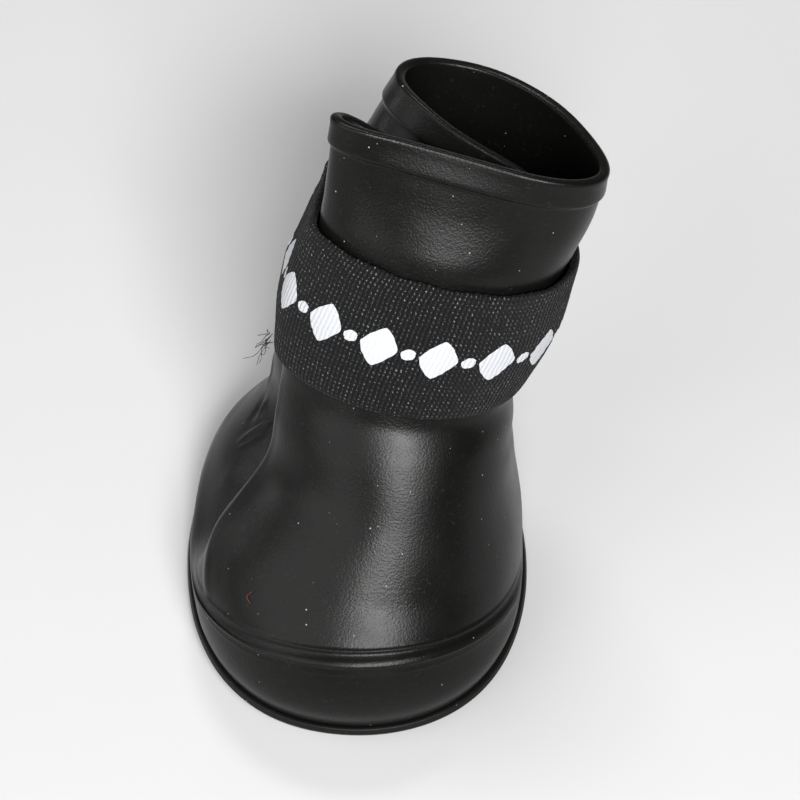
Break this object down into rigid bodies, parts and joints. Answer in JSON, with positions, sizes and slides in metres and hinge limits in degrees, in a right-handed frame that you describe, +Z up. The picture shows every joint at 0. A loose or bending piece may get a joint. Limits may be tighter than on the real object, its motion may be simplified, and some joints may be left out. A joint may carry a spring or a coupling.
{
  "type": "dog boot",
  "caption": "Moulded pull-on boot for a dog's paw: hollow shaft with a bellows fold on one side, toe-cap bead, lugged sole, insole and a webbing strap round the ankle.",
  "frame": {"origin": "on the ground, on the underside of the sole's middle lug, under the middle of the foot", "axes": "+Z up from the ground; -Y is the way the toe points; +X is the boot's own left side"},
  "size_m": [0.0592, 0.0729, 0.0755],
  "materials": {
    "upper": "satin black soft PVC, moulded in one piece",
    "sole": "satin black PVC",
    "insole": "matt black felt",
    "strap": "ribbed black webbing with a faint sparkle"
  },
  "bodies": {
    "root": {"upper": "upper", "sole": "sole", "insole": "insole", "strap": "strap"}
  },
  "joints": []
}
